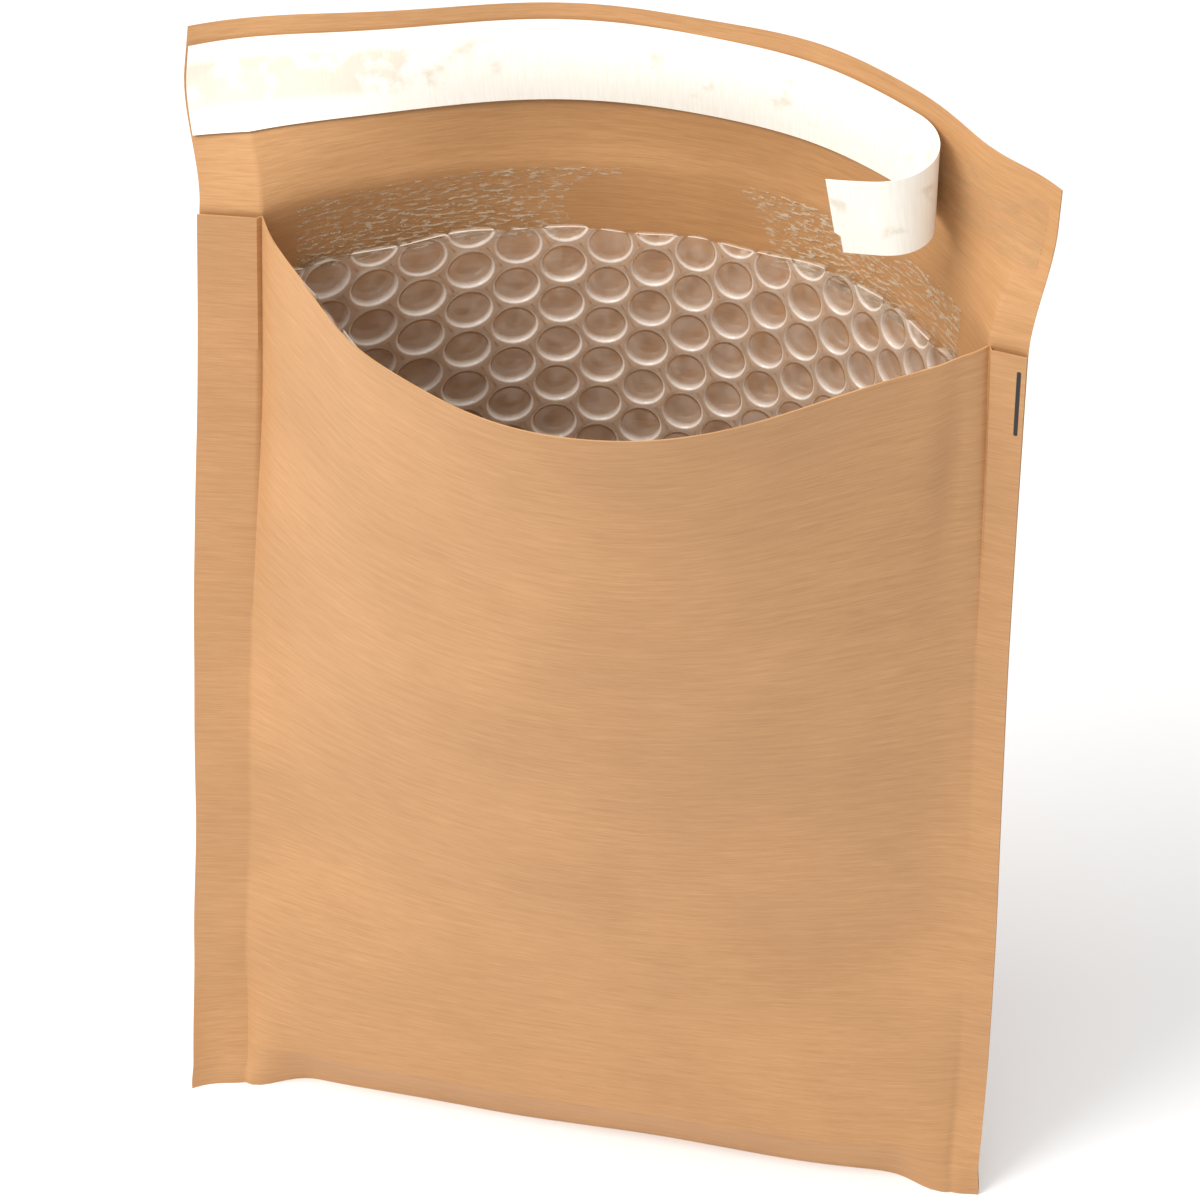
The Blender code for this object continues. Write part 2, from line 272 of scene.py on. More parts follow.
def outer_face(side, along, level):
    """A point of the sheet's outer face; on the back, levels over the body's height are on the flap."""
    if side < 0:
        return body_face(side, along, level)
    flap = flap_face(along, np.maximum(level - BODY_HEIGHT, 0))
    body = body_face(side, along, np.minimum(level, BODY_HEIGHT))
    return np.where((level > BODY_HEIGHT)[..., None], flap, body)


def place(side, along, level, depth=0.0):
    """The same, moved in by a depth along the sheet's own normal, in the part's frame."""
    along, level, depth = np.broadcast_arrays(*(np.asarray(v, float) for v in (along, level, depth)))
    point = outer_face(side, along, level)
    if np.any(depth):
        step = 0.6 * MM
        sideways = outer_face(side, along + step, level) - outer_face(side, along - step, level)
        low = np.maximum(level - step, 0)
        upward = outer_face(side, along, low + 2 * step) - outer_face(side, along, low)
        inward = np.cross(sideways, upward) * side
        inward /= np.linalg.norm(inward, axis=-1, keepdims=True)
        point = point + inward * depth[..., None]
    return point + FRAME_SHIFT


def frame_shift():
    """From the sheet's own origin, the middle of the bottom fold, to the frame's."""
    low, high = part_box("kraft_jacket")
    along = np.array((0.0, SHEET_WIDTH))
    left = min(body_face(1, along, np.full(2, level))[0, 0] for level in (0.0, BODY_HEIGHT / 4, BODY_HEIGHT))
    return np.array((low.x - left, 0, 0)), high


FRAME_SHIFT = np.array((2.291, -1.761, 0)) * MM


# ---- Making meshes ----


def numbers(collection, name, width):
    values = np.empty(len(collection) * width, np.float32)
    collection.foreach_get(name, values)
    return values.reshape(-1, width)


def sheet_piece(name, points, sheet, material):
    """A grid of faces through points[row, column], which keeps its place on the sheet as a UV map."""
    rows, columns = points.shape[:2]
    shape = bmesh.new()
    bmesh.ops.create_grid(shape, x_segments=columns - 1, y_segments=rows - 1, size=0.5)
    mesh = bpy.data.meshes.new(name)
    shape.to_mesh(mesh)
    shape.free()
    unit = numbers(mesh.vertices, "co", 3)[:, :2] + 0.5
    column, row = np.rint(unit * (columns - 1, rows - 1)).astype(int).T
    mesh.vertices.foreach_set("co", points[row, column].astype(np.float32).ravel())
    corner = np.empty(len(mesh.loops), np.int32)
    mesh.loops.foreach_get("vertex_index", corner)
    layer = mesh.uv_layers.new(name="Sheet")
    layer.uv.foreach_set("vector", sheet[row, column][corner].astype(np.float32).ravel())
    mesh.materials.append(material)
    mesh.update()
    return shown(name, mesh)


def shown(name, mesh):
    piece = bpy.data.objects.new(name, mesh)
    bpy.context.scene.collection.objects.link(piece)
    return piece


def thicken(piece, thickness, offset=-1):
    solid = piece.modifiers.new("Thickness", "SOLIDIFY")
    solid.thickness = thickness
    solid.offset = offset
    return solid


def settle(piece, sharp_degrees=40):
    """Applies the modifiers and shades the piece smooth, but for its sharp edges."""
    graph = bpy.context.evaluated_depsgraph_get()
    mesh = bpy.data.meshes.new_from_object(piece.evaluated_get(graph))
    piece.modifiers.clear()
    piece.data = mesh
    mesh.name = piece.name
    mesh.shade_smooth()
    mesh.set_sharp_from_angle(angle=math.radians(sharp_degrees))
    return piece


def stand_in_for(piece, node):
    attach(piece, "root")
    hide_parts(node)


# ---- Shader nodes ----


def node(tree, kind, inputs=None, **settings):
    made = tree.nodes.new("ShaderNode" + kind)
    for name, value in settings.items():
        setattr(made, name, value)
    for socket, value in (inputs or {}).items():
        if isinstance(value, bpy.types.NodeSocket):
            tree.links.new(value, made.inputs[socket])
        else:
            made.inputs[socket].default_value = value
    return made


def calc(tree, operation, *values, clamp=False):
    return node(tree, "Math", dict(enumerate(values)), operation=operation, use_clamp=clamp).outputs[0]


def between(tree, value, low, high, start=0.0, end=1.0):
    """start below low, end above high, and a smooth step in between."""
    inputs = {"Value": value, "From Min": low, "From Max": high, "To Min": start, "To Max": end}
    return node(tree, "MapRange", inputs, interpolation_type="SMOOTHSTEP").outputs[0]


def tint(tree, share, first, second, kind="MIX"):
    """Two colours mixed by a share; either may be a socket."""
    inputs = {0: share, 6: first, 7: second}
    return node(tree, "Mix", inputs, data_type="RGBA", blend_type=kind, clamp_factor=True).outputs[2]


def grey(value):
    return (value, value, value, 1)


def new_group(name, inputs, outputs):
    """An empty node group with sockets; returns it with its input and output nodes."""
    group = bpy.data.node_groups.new(name, "ShaderNodeTree")
    for socket, value in inputs.items():
        vector = value is None
        kind = "NodeSocketVector" if vector else "NodeSocketFloat"
        made = group.interface.new_socket(socket, in_out="INPUT", socket_type=kind)
        if not vector:
            made.default_value = value
    for socket in outputs:
        group.interface.new_socket(socket, in_out="OUTPUT", socket_type="NodeSocketFloat")
    return group, group.nodes.new("NodeGroupInput").outputs, group.nodes.new("NodeGroupOutput").inputs


def use(tree, group, inputs, output=0):
    made = node(tree, "Group", node_tree=group)
    for socket, value in inputs.items():
        if isinstance(value, bpy.types.NodeSocket):
            tree.links.new(value, made.inputs[socket])
        else:
            made.inputs[socket].default_value = value
    return made.outputs[output]


def streaks_group():
    """Noise drawn out along the sheet, for fibres and brush marks."""
    tree, given, out = new_group("Drawn streaks", {"Sheet": None, "Length": 0.01, "Width": 0.001}, ["Streak"])
    apart = node(tree, "SeparateXYZ", {0: given["Sheet"]}).outputs
    x = calc(tree, "DIVIDE", apart[0], given["Length"])
    y = calc(tree, "DIVIDE", apart[1], given["Width"])
    joined = node(tree, "CombineXYZ", {0: x, 1: y, 2: apart[2]}).outputs[0]
    drawn = node(tree, "TexNoise", {"Vector": joined, "Scale": 1.0, "Detail": 3.0, "Roughness": 0.65})
    tree.links.new(drawn.outputs[0], out["Streak"])
    return tree


def blotches_group():
    """Soft cloudy patches of a given size."""
    tree, given, out = new_group("Soft blotches", {"Sheet": None, "Size": 0.02, "Detail": 2.0}, ["Blotch"])
    scale = calc(tree, "DIVIDE", 1.0, given["Size"])
    inputs = {"Vector": given["Sheet"], "Scale": scale, "Detail": given["Detail"], "Roughness": 0.55}
    drawn = node(tree, "TexNoise", inputs)
    tree.links.new(drawn.outputs[0], out["Blotch"])
    return tree


def bar_group():
    """A round-ended bar printed along the sheet's height, 1 inside and 0 outside."""
    inputs = {"Sheet": None, "Middle": None, "Half width": 0.001, "Half length": 0.01}
    tree, given, out = new_group("Printed bar", inputs, ["Mark"])
    off = node(tree, "VectorMath", {0: given["Sheet"], 1: given["Middle"]}, operation="SUBTRACT").outputs[0]
    apart = node(tree, "SeparateXYZ", {0: off}).outputs
    side = calc(tree, "ABSOLUTE", apart[0])
    up = calc(tree, "MAXIMUM", calc(tree, "SUBTRACT", calc(tree, "ABSOLUTE", apart[1]), given["Half length"]), 0)
    far = calc(tree, "SQRT", calc(tree, "ADD", calc(tree, "POWER", side, 2.0), calc(tree, "POWER", up, 2.0)))
    share = calc(tree, "DIVIDE", far, given["Half width"])
    tree.links.new(between(tree, share, 0.85, 1.15, 1.0, 0.0), out["Mark"])
    return tree


STREAKS = streaks_group()
BLOTCHES = blotches_group()
BAR = bar_group()


def new_material(name, roughness, **plain):
    material = bpy.data.materials.new(name)
    material.use_nodes = True
    tree = material.node_tree
    shader = tree.nodes["Principled BSDF"]
    shader.inputs["Roughness"].default_value = roughness
    for socket, value in plain.items():
        shader.inputs[socket.replace("_", " ")].default_value = value
    return material, tree, shader.inputs


def sheet_map(tree):
    return node(tree, "UVMap", uv_map="Sheet").outputs[0]


def feed(tree, inputs, **sockets):
    for name, value in sockets.items():
        tree.links.new(value, inputs[name.replace("_", " ")])


def relief(tree, height, distance, strength=1.0):
    return node(tree, "Bump", {"Height": height, "Distance": distance, "Strength": strength}).outputs[0]


def kraft_paper():
    material, tree, shader = new_material("Kraft paper", 0.55, Specular_IOR_Level=0.35)
    at = sheet_map(tree)
    fine = use(tree, STREAKS, {"Sheet": at, "Length": 7 * MM, "Width": 0.3 * MM})
    broad = use(tree, STREAKS, {"Sheet": at, "Length": 26 * MM, "Width": 1.3 * MM})
    cloud = use(tree, BLOTCHES, {"Sheet": at, "Size": 38 * MM, "Detail": 2.0})
    pulp = use(tree, BLOTCHES, {"Sheet": at, "Size": 1.1 * MM, "Detail": 4.0})
    fibre = calc(tree, "ADD", calc(tree, "MULTIPLY", fine, 0.62), calc(tree, "MULTIPLY", broad, 0.38))
    colour = tint(tree, between(tree, fibre, 0.3, 0.7), (0.425, 0.213, 0.083, 1), (0.53, 0.287, 0.126, 1))
    colour = tint(tree, between(tree, cloud, 0.25, 0.75), colour, tint(tree, 1.0, colour, grey(1.1), "MULTIPLY"))
    colour = tint(tree, between(tree, pulp, 0.72, 0.8, 0, 0.3), colour, (0.3, 0.14, 0.05, 1))
    mark = printed_marks(tree, at)
    colour = tint(tree, mark, colour, (0.022, 0.022, 0.024, 1))
    rough = calc(tree, "MULTIPLY_ADD", fibre, 0.22, 0.44)
    height = calc(tree, "ADD", fibre, calc(tree, "MULTIPLY", pulp, 0.35))
    feed(tree, shader, Base_Color=colour, Roughness=rough, Normal=relief(tree, height, 0.05 * MM, 0.6))
    return material


def front_place(along, height):
    """Where a point of the front panel is on the sheet's map."""
    return (along, -FOLD_DEPTH - height, 0)


def printed_marks(tree, at):
    bars = (
        (front_place(SHEET_WIDTH - 1.4 * MM, 256 * MM), 0.45 * MM, 8.5 * MM),
        ((0.2 * MM, 7 * MM, 0), 1.6 * MM, 9 * MM),
    )
    total = 0.0
    for middle, wide, long in bars:
        mark = use(tree, BAR, {"Sheet": at, "Middle": middle, "Half width": wide, "Half length": long})
        total = calc(tree, "MAXIMUM", total, mark)
    return total


def bubble_film():
    """Clear film: milky where the two layers are welded, denser at a bubble's rim with a painted highlight there, and
    clear at its flat end.
    """
    material, tree, shader = new_material("Bubble film", 0.22, Specular_IOR_Level=0.7, IOR=1.5)
    far = node(tree, "Attribute", attribute_name="from_middle", attribute_type="GEOMETRY").outputs["Fac"]
    at = sheet_map(tree)
    haze = use(tree, BLOTCHES, {"Sheet": at, "Size": 3 * MM, "Detail": 3.0})
    crinkle = use(tree, STREAKS, {"Sheet": at, "Length": 3 * MM, "Width": 1.2 * MM})
    web = between(tree, far, 0.98, 1.06)
    # The rim mask makes the film denser round each bubble and paints it pale all the way round: a painted highlight
    # where the steep wall would catch the light.
    rim = calc(tree, "MULTIPLY", between(tree, far, 0.9, 1.0), between(tree, far, 1.0, 1.12, 1.0, 0.0))
    wall = calc(tree, "MULTIPLY", between(tree, far, 0.7, 0.85), between(tree, far, 0.85, 1.0, 1.0, 0.4))
    alpha = calc(tree, "MULTIPLY_ADD", web, 0.3, 0.07)
    alpha = calc(tree, "ADD", alpha, calc(tree, "MULTIPLY", rim, 0.5))
    alpha = calc(tree, "ADD", alpha, calc(tree, "MULTIPLY", wall, 0.12))
    alpha = calc(tree, "MULTIPLY_ADD", calc(tree, "SUBTRACT", haze, 0.5), 0.22, alpha, clamp=True)
    # Painted highlight: the rim is painted near white over the film's tan.
    colour = tint(tree, rim, (0.8, 0.66, 0.52, 1), (0.97, 0.9, 0.82, 1))
    height = calc(tree, "ADD", haze, calc(tree, "MULTIPLY", crinkle, 0.6))
    feed(tree, shader, Base_Color=colour, Alpha=alpha, Normal=relief(tree, height, 0.25 * MM, 0.5))
    return material


def film_caps():
    material, tree, shader = new_material("Film over the bubbles", 0.1, Specular_IOR_Level=1.0, IOR=1.5)
    at = sheet_map(tree)
    haze = use(tree, BLOTCHES, {"Sheet": at, "Size": 5 * MM, "Detail": 2.0})
    alpha = between(tree, haze, 0.3, 0.75, 0.06, 0.25)
    shader["Base Color"].default_value = (0.9, 0.82, 0.72, 1)
    feed(tree, shader, Alpha=alpha, Normal=relief(tree, haze, 0.4 * MM, 0.4))
    return material


def hot_melt_glue():
    material, tree, shader = new_material("Hot melt glue", 0.2, Specular_IOR_Level=0.8)
    at = sheet_map(tree)
    drag = use(tree, STREAKS, {"Sheet": at, "Length": 2.5 * MM, "Width": 0.8 * MM})
    alpha = between(tree, drag, 0.5, 0.62, 0.0, 0.5)
    shader["Base Color"].default_value = (0.86, 0.72, 0.52, 1)
    feed(tree, shader, Alpha=alpha, Normal=relief(tree, drag, 0.6 * MM, 0.8))
    return material


def flap_adhesive():
    material, tree, shader = new_material("Flap adhesive", 0.3, Specular_IOR_Level=0.5)
    at = sheet_map(tree)
    drag = use(tree, STREAKS, {"Sheet": at, "Length": 9 * MM, "Width": 1.2 * MM})
    alpha = between(tree, drag, 0.4, 0.7, 0.05, 0.22)
    shader["Base Color"].default_value = (0.62, 0.4, 0.2, 1)
    feed(tree, shader, Alpha=alpha, Normal=relief(tree, drag, 0.2 * MM, 0.5))
    return material


def release_liner():
    material, tree, shader = new_material("Release liner", 0.35, Specular_IOR_Level=0.4)
    at = sheet_map(tree)
    apart = node(tree, "SeparateXYZ", {0: at}).outputs
    grain = use(tree, STREAKS, {"Sheet": at, "Length": 0.5 * MM, "Width": 9 * MM})
    cloud = use(tree, BLOTCHES, {"Sheet": at, "Size": 7 * MM, "Detail": 6.0})
    fade = between(tree, apart[0], 20 * MM, 85 * MM, 1.0, 0.0)
    line = BODY_HEIGHT + FLAP_LENGTH - STRIP_FROM_EDGE
    band = calc(
        tree,
        "MULTIPLY",
        between(tree, apart[1], line - 15 * MM, line - 12 * MM),
        between(tree, apart[1], line - 5 * MM, line - 3 * MM, 1.0, 0.0),
    )
    edge = calc(tree, "MULTIPLY_ADD", fade, 0.22, calc(tree, "SUBTRACT", cloud, 0.62))
    mottle = calc(tree, "MULTIPLY", between(tree, edge, -0.06, 0.1), band)
    colour = tint(tree, between(tree, grain, 0.3, 0.7), (0.93, 0.88, 0.77, 1), (0.97, 0.94, 0.86, 1))
    colour = tint(tree, calc(tree, "MULTIPLY", mottle, 0.5), colour, (0.62, 0.5, 0.36, 1))
    feed(tree, shader, Base_Color=colour, Normal=relief(tree, grain, 0.04 * MM, 0.4))
    return material


def pale_floor():
    material, tree, shader = new_material("Pale floor", 0.5)
    shader["Base Color"].default_value = (0.9, 0.9, 0.9, 1)
    return material


# ---- The kraft jacket ----


def spaced(*stops):
    """Evenly spaced values between stops: start, then (count, end) for each stretch."""
    values = [stops[0]]
    for count, end in stops[1:]:
        start = values[-1]
        values += [blend(start, end, (i + 1) / count) for i in range(count)]
    return np.array(values)


SHEET_COLUMNS = spaced(
    0.0, (6, 5 * MM), (6, 11 * MM), (6, LEFT_SEAM + 2 * MM), (84, RIGHT_SEAM_AT - 2 * MM), (6, RIGHT_SEAM_AT + 2 * MM), (5, SHEET_WIDTH)
)
BODY_LEVELS = spaced(0.0, (14, 14 * MM), (44, 110 * MM), (50, 230 * MM), (26, BODY_HEIGHT))
FLAP_LEVELS = spaced(BODY_HEIGHT, (6, BODY_HEIGHT + 5 * MM), (14, BODY_HEIGHT + 30 * MM), (7, BODY_HEIGHT + FLAP_LENGTH))
FOLD_SHARES = spaced(0.0, (8, 1.0))


def paper_rows(side, levels):
    along, level = np.meshgrid(SHEET_COLUMNS, levels)
    points = place(side, along, level)
    down = level if side > 0 else -FOLD_DEPTH - level
    return points, np.stack((along, down), axis=-1)


def soften(points, rows, passes):
    """Rounds a fold by letting the rows near it relax."""
    for _ in range(passes):
        inner = points[rows[0] : rows[1]]
        points[rows[0] : rows[1]] = (
            points[rows[0] - 1 : rows[1] - 1] + 2 * inner + points[rows[0] + 1 : rows[1] + 1]
        ) / 4


def crumple(points, size, amount):
    """Small unevenness of handled paper."""
    flat = points.reshape(-1, 3)
    moved = [noise.noise(Vector(p) / size) * amount for p in flat]
    flat[:, 1] += moved
    return points


def make_jacket(material):
    back, back_map = paper_rows(1, np.concatenate((BODY_LEVELS, FLAP_LEVELS[1:]))[::-1])
    front, front_map = paper_rows(-1, BODY_LEVELS)
    shares = FOLD_SHARES[1:-1, None, None]
    fold = blend(back[-1], front[0], shares)
    fold_map = blend(back_map[-1], front_map[0], shares)
    points = np.concatenate((back, fold, front))
    sheet = np.concatenate((back_map, fold_map, front_map))
    crease = len(FLAP_LEVELS) - 1
    soften(points, (crease - 2, crease + 3), 3)
    jacket = sheet_piece("kraft_jacket_sheet", crumple(points, 34 * MM, 0.7 * MM), sheet, material)
    thicken(jacket, PAPER)
    stand_in_for(settle(jacket), "kraft_jacket")


# ---- The bubble film ----


def film_thickness(along, height):
    """How deep the film is: its full depth in the open pocket, crushed where the panels meet at the seams."""
    share = np.clip((along - LEFT_SEAM) / POCKET_WIDTH, 0, 1)
    room = np.minimum(*(np.abs(pocket_section(side, share, height)[1]) for side in (-1, 1)))
    return np.clip(0.85 * (room - SEAM_HALF), 0.25 * MM, FILM_DEEP)


def film_place(side, along, height, proud):
    """A point of the film; proud is 0 on the welded web and 1 on a bubble's flat end, against the paper."""
    deep = film_thickness(along, height)
    return place(side, along, height, FILM_OUTSIDE + deep * (1 - proud))


def back_edge(along):
    """Height of the film's cut top edge on the back panel."""
    wave = 0.35 * MM * np.sin(along / (4.1 * MM)) + 0.3 * MM * np.sin(along / (9.7 * MM) + 1)
    return FILM_BACK_TOP + wave + 1 * MM + 2.7 * MM * smooth((along - 128 * MM) / (20 * MM))


def front_edge(along):
    return FILM_FRONT_TOP + 0.5 * MM * np.sin(along / (5.3 * MM))


def cell_outline(spokes):
    """Unit directions round a bubble, and how far out the cell's hexagon lies along each."""
    angle = 2 * math.pi * np.arange(spokes) / spokes
    step = np.array((BUBBLE_COLUMN, BUBBLE_PITCH / 2))
    flat = BUBBLE_PITCH / 2 / np.maximum(np.abs(np.sin(angle)), 1e-6)
    slant = (step @ step / 2) / (step[0] * np.abs(np.cos(angle)) + step[1] * np.abs(np.sin(angle)))
    return np.cos(angle), np.sin(angle), np.minimum(flat, slant)


RINGS = ((0.74, 1.0), (0.86, 0.86), (0.96, 0.3), (1.0, 0.06), (1.08, 0.0))


def bubble_cell(spokes, cap):
    """(across, up, from_middle, proud) of one cell's points about its middle, and the cell's faces."""
    cos, sin, far = cell_outline(spokes)
    points = [(0.0, 0.0, 0.0, 1.0)]
    rings = [(0.93, 0.0), (0.5, -0.1)] if cap else list(RINGS)
    for reach, proud in rings:
        radius = BUBBLE_RIM * reach
        points += [(radius * c, radius * s, reach, proud) for c, s in zip(cos, sin)]
    if not cap:
        points += [(f * c, f * s, f / BUBBLE_RIM, 0.0) for c, s, f in zip(cos, sin, far)]
        loops = len(rings) + 1
    else:
        points = points[1:] + [(0.0, 0.0, 0.0, -0.13)]
        loops = len(rings)
    first = 0 if cap else 1
    faces = []
    for ring in range(loops - 1):
        start = first + ring * spokes
        for i in range(spokes):
            j = (i + 1) % spokes
            quad = (start + i, start + j, start + spokes + j, start + spokes + i)
            faces.append(quad if cap else quad[::-1])
    middle, inner = (len(points) - 1, first + (loops - 1) * spokes) if cap else (0, first)
    for i in range(spokes):
        faces.append((middle, inner + i, inner + (i + 1) % spokes))
    return np.array(points), faces


def column_place(column):
    """How far along the sheet a column of bubbles is; the film is stretched more at the left."""
    return (39 + 11.05 * column - 0.115 * column**2) * MM


def bubble_middles():
    """The lattice of bubbles against one panel, as (column, height) of each middle."""
    middles = []
    for column in range(-3, 17):
        start = BUBBLE_TOP_ROW + 0.02 * (column_place(column) - SHEET_WIDTH / 2) + BUBBLE_PITCH
        start -= (column + 1) % 2 * BUBBLE_PITCH / 2
        for row in range(math.ceil(start / BUBBLE_PITCH) + 1):
            middles.append((column, start - row * BUBBLE_PITCH))
    return middles


def make_film(name, side, top_edge, fine_above, material, cap=False):
    """The film against one panel, cell by cell, cut off at its edges."""
    rng = np.random.default_rng(11 if side > 0 else 12)
    points, attribute, sheet, faces = [], [], [], []
    count = 0
    for column, height in bubble_middles():
        plump = 1 - 0.25 * rng.random() ** 2
        if cap and height < fine_above:
            continue
        cell, cell_faces = bubble_cell(24 if height > fine_above else 12, cap)
        open_u = column_place(column + cell[:, 0] / BUBBLE_COLUMN)
        open_v = height + cell[:, 1]
        u = np.clip(open_u, FILM_START, FILM_END)
        v = np.clip(open_v, FILM_TURN_HEIGHT, top_edge(u))
        if np.ptp(u) < 1 * MM or np.ptp(v) < 1 * MM:
            continue
        rim = cell[:, 2] < 1.01
        cut = np.any(rim & ((u != open_u) | (v != open_v)))
        proud = cell[:, 3] * plump * (0.35 if cut else 1)
        points.append(film_place(side, u, v, proud))
        attribute.append(cell[:, 2])
        sheet.append(np.stack((u, v if side > 0 else -FOLD_DEPTH - v), axis=-1))
        faces += [tuple(count + i for i in face) for face in cell_faces]
        count += len(cell)
    mesh = bpy.data.meshes.new(name)
    mesh.from_pydata(np.concatenate(points).tolist(), [], faces)
    made = mesh.attributes.new("from_middle", "FLOAT", "POINT")
    made.data.foreach_set("value", np.concatenate(attribute).astype(np.float32))
    corner = np.empty(len(mesh.loops), np.int32)
    mesh.loops.foreach_get("vertex_index", corner)
    layer = mesh.uv_layers.new(name="Sheet")
    layer.uv.foreach_set("vector", np.concatenate(sheet)[corner].astype(np.float32).ravel())
    shape = bmesh.new()
    shape.from_mesh(mesh)
    bmesh.ops.remove_doubles(shape, verts=shape.verts, dist=0.02 * MM)
    bmesh.ops.dissolve_degenerate(shape, edges=shape.edges, dist=0.02 * MM)
    shape.to_mesh(mesh)
    shape.free()
    mesh.materials.append(material)
    mesh.shade_smooth()
    return shown(name, mesh)


def make_lining(film, caps):
    back = make_film("bubble_film_back", 1, back_edge, 170 * MM, film)
    stand_in_for(back, "bubble_lining")
    front = make_film("bubble_film_front", -1, front_edge, 235 * MM, film)
    back_caps = make_film("bubble_caps_back", 1, back_edge, 170 * MM, caps, cap=True)
    front_caps = make_film("bubble_caps_front", -1, front_edge, 235 * MM, caps, cap=True)
    for piece in (front, back_caps, front_caps):
        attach(piece, "root")


# ---- Glue, adhesive and liner ----


def layer_piece(name, side, alongs, levels, depth, thickness, material):
    """A thin layer laid on the sheet at a depth."""
    along, level = np.meshgrid(alongs, levels[::-1] if side > 0 else levels)
    points = place(side, along, level, depth)
    sheet = np.stack((along, level if side > 0 else -FOLD_DEPTH - level), axis=-1)
    piece = sheet_piece(name, points, sheet, material)
    thicken(piece, thickness)
    return settle(piece)


def make_glue(glue, adhesive):
    seam_levels = BODY_LEVELS[10:-3:3]
    for name, node_name, start, end in (
        ("seam_glue_left", "left_seam_glue", 1 * MM, LEFT_SEAM - 1 * MM),
        ("seam_glue_right", "right_seam_glue", RIGHT_SEAM_AT + 1 * MM, SHEET_WIDTH - 1 * MM),
    ):
        seam = layer_piece(name, 1, spaced(start, (4, end)), seam_levels, PAPER + 0.3 * MM, 0.3 * MM, glue)
        stand_in_for(seam, node_name)
    alongs = spaced(24 * MM, (60, 180 * MM))
    bead = layer_piece("lining_glue_front", -1, alongs, spaced(262 * MM, (3, 266 * MM)), PAPER + 0.06 * MM, 0.2 * MM, glue)
    stand_in_for(bead, "front_lining_glue")
    alongs = spaced(22 * MM, (90, 180 * MM))
    bead = layer_piece("lining_glue_back", 1, alongs, spaced(250 * MM, (12, 268 * MM)), PAPER + 0.06 * MM, 0.12 * MM, glue)
    stand_in_for(bead, "back_lining_glue")
    top = BODY_HEIGHT + FLAP_LENGTH - STRIP_FROM_EDGE
    alongs = spaced(1 * MM, (90, SHEET_WIDTH - 3 * MM))
    strip = layer_piece("adhesive_strip", 1, alongs, spaced(top - 16 * MM, (6, top - 1 * MM)), PAPER + 0.05 * MM, 0.1 * MM, adhesive)
    stand_in_for(strip, "flap_adhesive")


def curl_path():
    """(reach, along, forward) of the liner's curl, from where it leaves the flap to its free end."""
    steps = 28
    bent = CURL_RADIUS * CURL_TURN
    turn = CURL_TURN * np.arange(1, steps + 1) / steps
    round_part = np.stack((CURL_RADIUS * turn, CURL_RADIUS * np.sin(turn), CURL_RADIUS * (1 - np.cos(turn))), axis=-1)
    reach = CURL_TAIL * np.arange(1, 7) / 6
    last = round_part[-1]
    tail = np.stack(
        (bent + reach, last[1] + reach * math.cos(CURL_TURN), last[2] + reach * math.sin(CURL_TURN)), axis=-1
    )
    return np.concatenate((round_part, tail))


def strip_top(along):
    """How high the top of the strip runs: it isn't quite parallel to the flap's edge."""
    wander = 0.9 * MM * bump(along / SHEET_WIDTH, 0.4, 0.2)
    return BODY_HEIGHT + FLAP_LENGTH - STRIP_FROM_EDGE + wander


def make_liner(material):
    depth = PAPER + 0.55 * MM
    alongs = spaced(0.4 * MM, (90, LINER_PEEL))
    down = spaced(0.0, (18, LINER_WIDTH))
    along, drop = np.meshgrid(alongs, down)
    stuck = place(1, along, strip_top(along) - drop, depth)
    leaving = stuck[:, -1]
    onward = leaving[0] - place(1, LINER_PEEL - 2 * MM, strip_top(LINER_PEEL), depth)
    onward /= np.linalg.norm(onward)
    downward = (leaving[-1] - leaving[0]) / LINER_WIDTH
    forward = np.cross(downward, onward)
    forward /= np.linalg.norm(forward)
    curl = curl_path()
    reach = curl[:, 0] - np.where(down > 0.77 * LINER_WIDTH, DRY_BAND_SHORT, 0)[:, None] * smooth(
        curl[:, 0] / curl[-1, 0] * 4 - 3
    )
    side = np.interp(reach, curl[:, 0], curl[:, 1])[..., None]
    front = np.interp(reach, curl[:, 0], curl[:, 2])[..., None]
    free = smooth(curl[:, 0] / curl[-1, 0])[None, :, None]
    hanging = downward + (FREE_END_DOWN - downward) * free
    curled = leaving[0] + onward * side + forward * front + hanging * down[:, None, None]
    curled = curled - np.array((0, 0, CURL_SAG)) * free
    points = np.concatenate((stuck, curled), axis=1)
    lengths = np.concatenate((alongs, LINER_PEEL + curl[:, 0]))
    run, drop = np.meshgrid(lengths, down)
    sheet = np.stack((run, BODY_HEIGHT + FLAP_LENGTH - STRIP_FROM_EDGE - drop), axis=-1)
    liner = sheet_piece("liner_strip", points, sheet, material)
    thicken(liner, LINER_PAPER)
    stand_in_for(settle(liner), "release_liner")


# ---- The studio ----

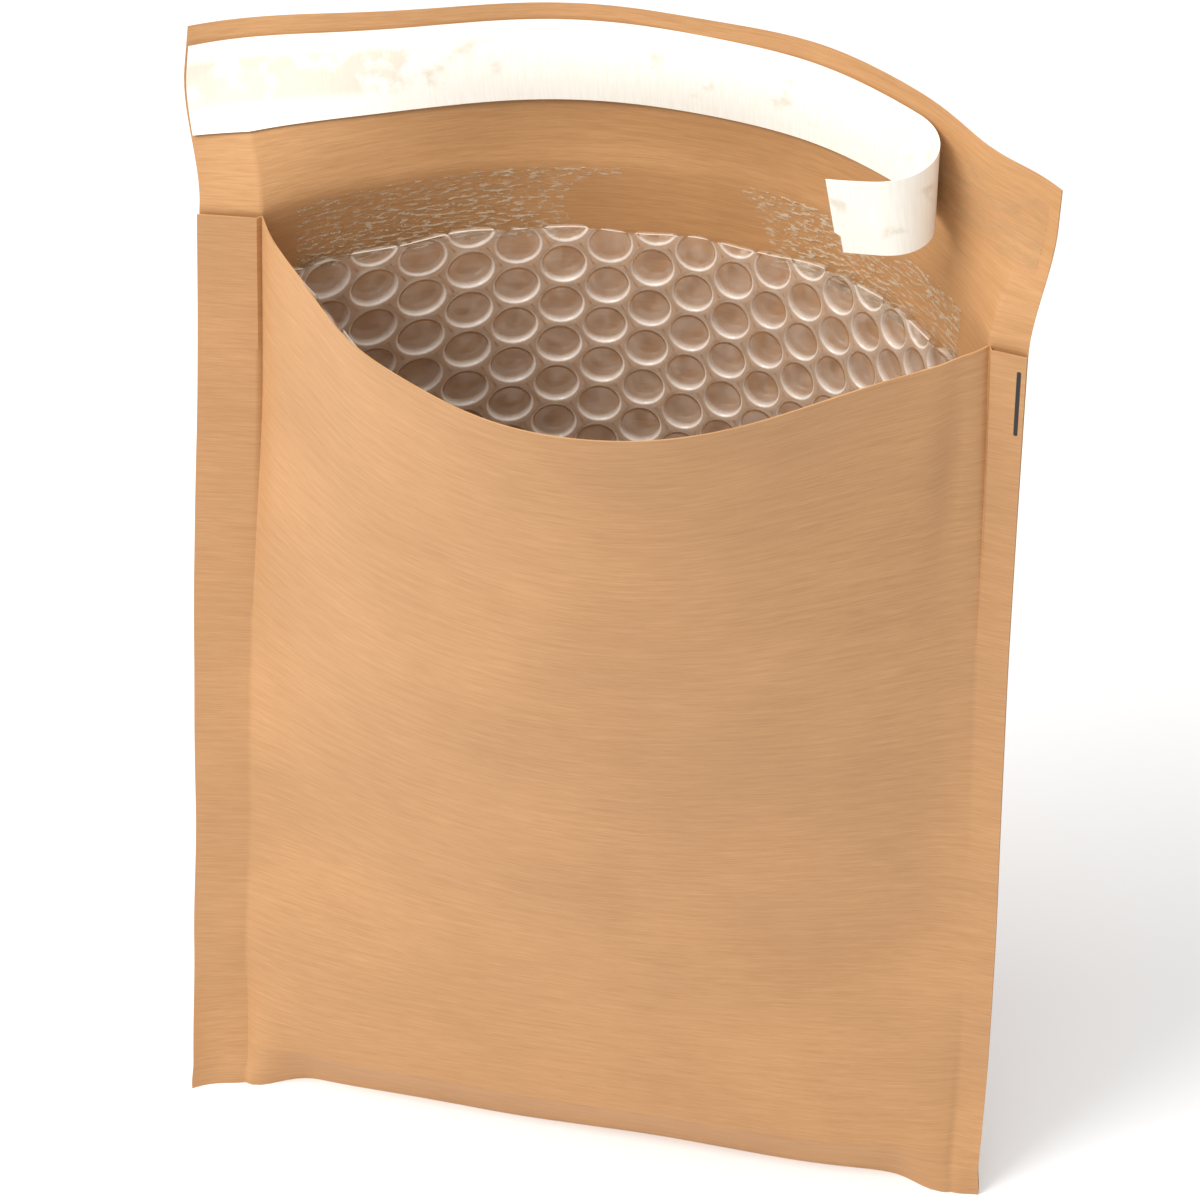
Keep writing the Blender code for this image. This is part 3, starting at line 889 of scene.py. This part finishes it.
CAMERA_TARGET = Vector((5.6, -1.8, 179)) * MM
CAMERA_AZIMUTH = math.radians(12)
CAMERA_ELEVATION = math.radians(43.5)
CAMERA_ROLL = math.radians(1)
CAMERA_DISTANCE = 0.85
CAMERA_LENS = 116.8


def direction(azimuth, elevation):
    """From the object towards a place round it; azimuth 0 is in front and 90 on its right."""
    level = math.cos(elevation)
    return Vector((math.sin(azimuth) * level, -math.cos(azimuth) * level, math.sin(elevation)))


def add_camera():
    camera = bpy.data.objects.new("Camera", bpy.data.cameras.new("Camera"))
    bpy.context.scene.collection.objects.link(camera)
    away = direction(CAMERA_AZIMUTH, CAMERA_ELEVATION)
    camera.location = CAMERA_TARGET + away * CAMERA_DISTANCE
    camera.rotation_mode = "QUATERNION"
    facing = (-away).to_track_quat("-Z", "Y")
    camera.rotation_quaternion = facing @ Quaternion((0, 0, 1), -CAMERA_ROLL)
    camera.data.lens = CAMERA_LENS
    camera.data.clip_end = 20
    bpy.context.scene.camera = camera


def add_light(name, azimuth, elevation, distance, size, power):
    light = bpy.data.lights.new(name, "AREA")
    light.shape = "DISK"
    light.size = size
    light.energy = power
    lamp = bpy.data.objects.new(name, light)
    bpy.context.scene.collection.objects.link(lamp)
    towards = direction(math.radians(azimuth), math.radians(elevation))
    lamp.location = CAMERA_TARGET + towards * distance
    lamp.rotation_mode = "QUATERNION"
    lamp.rotation_quaternion = (-towards).to_track_quat("-Z", "Y")


def add_studio():
    world = bpy.data.worlds.new("Studio")
    world.use_nodes = True
    world.node_tree.nodes["Background"].inputs["Color"].default_value = (1, 1, 1, 1)
    world.node_tree.nodes["Background"].inputs["Strength"].default_value = 0.75
    bpy.context.scene.world = world
    bpy.context.scene.view_settings.view_transform = "Standard"
    add_light("Key", -55, 50, 1.6, 0.9, 22)
    add_light("Top", 10, 80, 1.8, 1.2, 8)
    bpy.ops.mesh.primitive_plane_add(size=6)
    floor = bpy.context.object
    floor.name = "Floor"
    floor.data.materials.append(pale_floor())


make_jacket(kraft_paper())
make_lining(bubble_film(), film_caps())
make_glue(hot_melt_glue(), flap_adhesive())
make_liner(release_liner())
add_camera()
add_studio()
